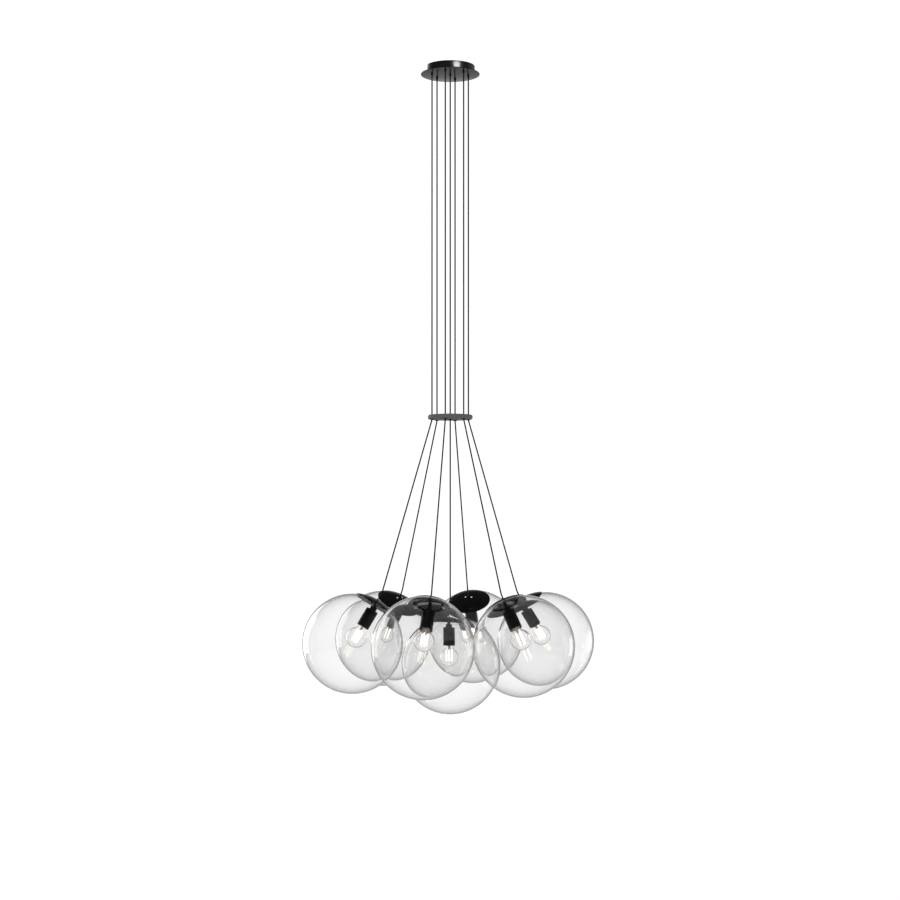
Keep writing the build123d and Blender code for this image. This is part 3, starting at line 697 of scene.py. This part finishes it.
for k in PENDANTS:
    place(f"lampholder_body_{k}", holder, f"pendant_{k}", stands[k], [f"lampholder_{k}"])


# ---- Lamps: glass ----
# Clear ball envelopes of thin blown lamp glass, 45 mm across. Each is drawn in to a neck that is
# cemented into the screw base.
BALL_R = 22.5
LAMP_WALL = 0.9
BALL_Z = 15.66
NECK_R = 9.8
NECK_TOP = 42.94


def lamp_side(inset):
    """Outline of the lamp's glass from its lowest point up to the neck, drawn in by inset."""
    side = arc(0, BALL_Z, BALL_R - inset, -90, 50, 60)
    r0, z0 = side[-1]
    flare = 16
    for i in range(1, flare + 1):
        t = i / flare
        r = r0 + (NECK_R - inset - r0) * (1 - (1 - t) ** 2)
        side.append((r, z0 + (NECK_TOP - z0) * t))
    return side


bulb_glass, tree = material("blown_lamp_glass")
# thin blown lamp glass: clear and bright-edged, filled with the filaments' own light
within = add(tree, "ShaderNodeTexCoord").outputs["Object"]
wave = add(tree, "ShaderNodeTexNoise", Vector=within, Scale=60.0, Detail=1.0).outputs["Fac"]
raised = add(tree, "ShaderNodeBump", Height=wave, Strength=0.05, Distance=0.0005).outputs[0]
wall = add(tree, "ShaderNodeBsdfPrincipled", Base_Color=(1, 1, 1, 1), Roughness=0.0, IOR=1.5,
           Transmission_Weight=1.0, Normal=raised, Emission_Color=linear("#fff6ea"), Emission_Strength=0.03)
add(tree, "ShaderNodeOutputMaterial", Surface=glass_wall(tree, wall, 0.98))
outline = lamp_side(0) + lamp_side(LAMP_WALL)[::-1]
envelope = turned("lamp_envelope", outline, bulb_glass, 96, loop=False, keen=80)


# ---- Lamps: base and filaments ----
# A screw base rolled from plated brass, a glass stem pinched round its wires and, round one
# upright steel wire, four straight LED filaments, lit.
THREAD_LOW = 47.0
THREAD_PITCH = 2.8
THREAD_TURNS = 7
FILAMENTS = 4
FILAMENT_SPREAD = 6.5
base_metal, tree = material("nickel_plated_brass")
# rolled and plated brass: a warm, rather dark metal, dulled here and there by scuffs
within = add(tree, "ShaderNodeTexCoord").outputs["Object"]
scuff = add(tree, "ShaderNodeTexNoise", Vector=within, Scale=300.0, Detail=3.0).outputs["Fac"]
tone = add(tree, "ShaderNodeMix", {"data_type": "RGBA"}, i0=scuff,
           i6=linear("#6b5a48"), i7=linear("#85725c")).outputs[2]
shine = add(tree, "ShaderNodeMapRange", Value=scuff, To_Min=0.25, To_Max=0.45).outputs[0]
skin = add(tree, "ShaderNodeBsdfPrincipled", Base_Color=tone, Roughness=shine, Metallic=1.0)
add(tree, "ShaderNodeOutputMaterial", Surface=skin.outputs[0])

outline = [(0, NECK_TOP), (NECK_R, NECK_TOP), (NECK_R, 44.4), (8.3, 45.94), (6.95, 46.2)]
for i in range(THREAD_TURNS):
    z = THREAD_LOW + i * THREAD_PITCH
    outline += [(6.95, z), (6.55, z + 0.7), (6.45, z + 1.4), (6.55, z + 2.1)]
outline += [(6.95, 66.8), (4.0, 68.0), (4.0, 69.6), (2.4, 70.4), (0, 70.4)]
base = turned("lamp_base", outline, base_metal, 64, loop=False)

stem_glass, tree = material("pinched_stem_glass")
# lead glass of the stem, browned by the wires sealed into it
within = add(tree, "ShaderNodeTexCoord").outputs["Object"]
seal = add(tree, "ShaderNodeTexNoise", Vector=within, Scale=250.0, Detail=2.0).outputs["Fac"]
tone = add(tree, "ShaderNodeMix", {"data_type": "RGBA"}, i0=seal,
           i6=linear("#8a7a68"), i7=linear("#b5aa9c")).outputs[2]
skin = add(tree, "ShaderNodeBsdfPrincipled", Base_Color=tone, Roughness=0.15, IOR=1.56)
add(tree, "ShaderNodeOutputMaterial", Surface=skin.outputs[0])
outline = [(0, NECK_TOP), (3.0, NECK_TOP), (2.9, 38.0), (2.2, 34.0), (1.6, 31.94), (0, 31.94)]
stem = turned("lamp_stem", outline, stem_glass, 32, loop=False)

phosphor, tree = material("lit_led_filament")
# yellow phosphor over a row of chips: it glows evenly, nearly white, warm along its edges
edge = add(tree, "ShaderNodeLayerWeight", Blend=0.4).outputs["Facing"]
tone = add(tree, "ShaderNodeMix", {"data_type": "RGBA"}, i0=edge,
           i6=linear("#fff4e0"), i7=linear("#ffd9a0")).outputs[2]
skin = add(tree, "ShaderNodeBsdfPrincipled", Base_Color=linear("#f3d9a0"), Roughness=0.5,
           Emission_Color=tone, Emission_Strength=5.0)
add(tree, "ShaderNodeOutputMaterial", Surface=skin.outputs[0])
bar_outline = arc(0, 7.74, 0.9, -90, 0, 5) + arc(0, 31.94, 0.9, 0, 90, 5)
bar = turned("lamp_filament", bar_outline, phosphor, 20, loop=False)
wire_outline = [(0, 5.9), (0.3, 5.9), (0.3, 32.5), (0, 32.5)]
wire = turned("lamp_wire", wire_outline, zinc, 12, loop=False)
for k in PENDANTS:
    body = f"bulb_{k}"
    place(f"lamp_envelope_{k}", envelope, body, stands[k], [f"bulb_{k}"])
    place(f"lamp_base_{k}", base, body, stands[k])
    place(f"lamp_stem_{k}", stem, body, stands[k])
    place(f"lamp_wire_{k}", wire, body, stands[k])
    for side in range(FILAMENTS):
        turn = Matrix.Rotation(side * 2 * math.pi / FILAMENTS, 4, "Z")
        spread = turn @ Matrix.Translation((FILAMENT_SPREAD * MM, 0, 0))
        place(f"lamp_filament_{k}_{side + 1}", bar, body, stands[k] @ spread)
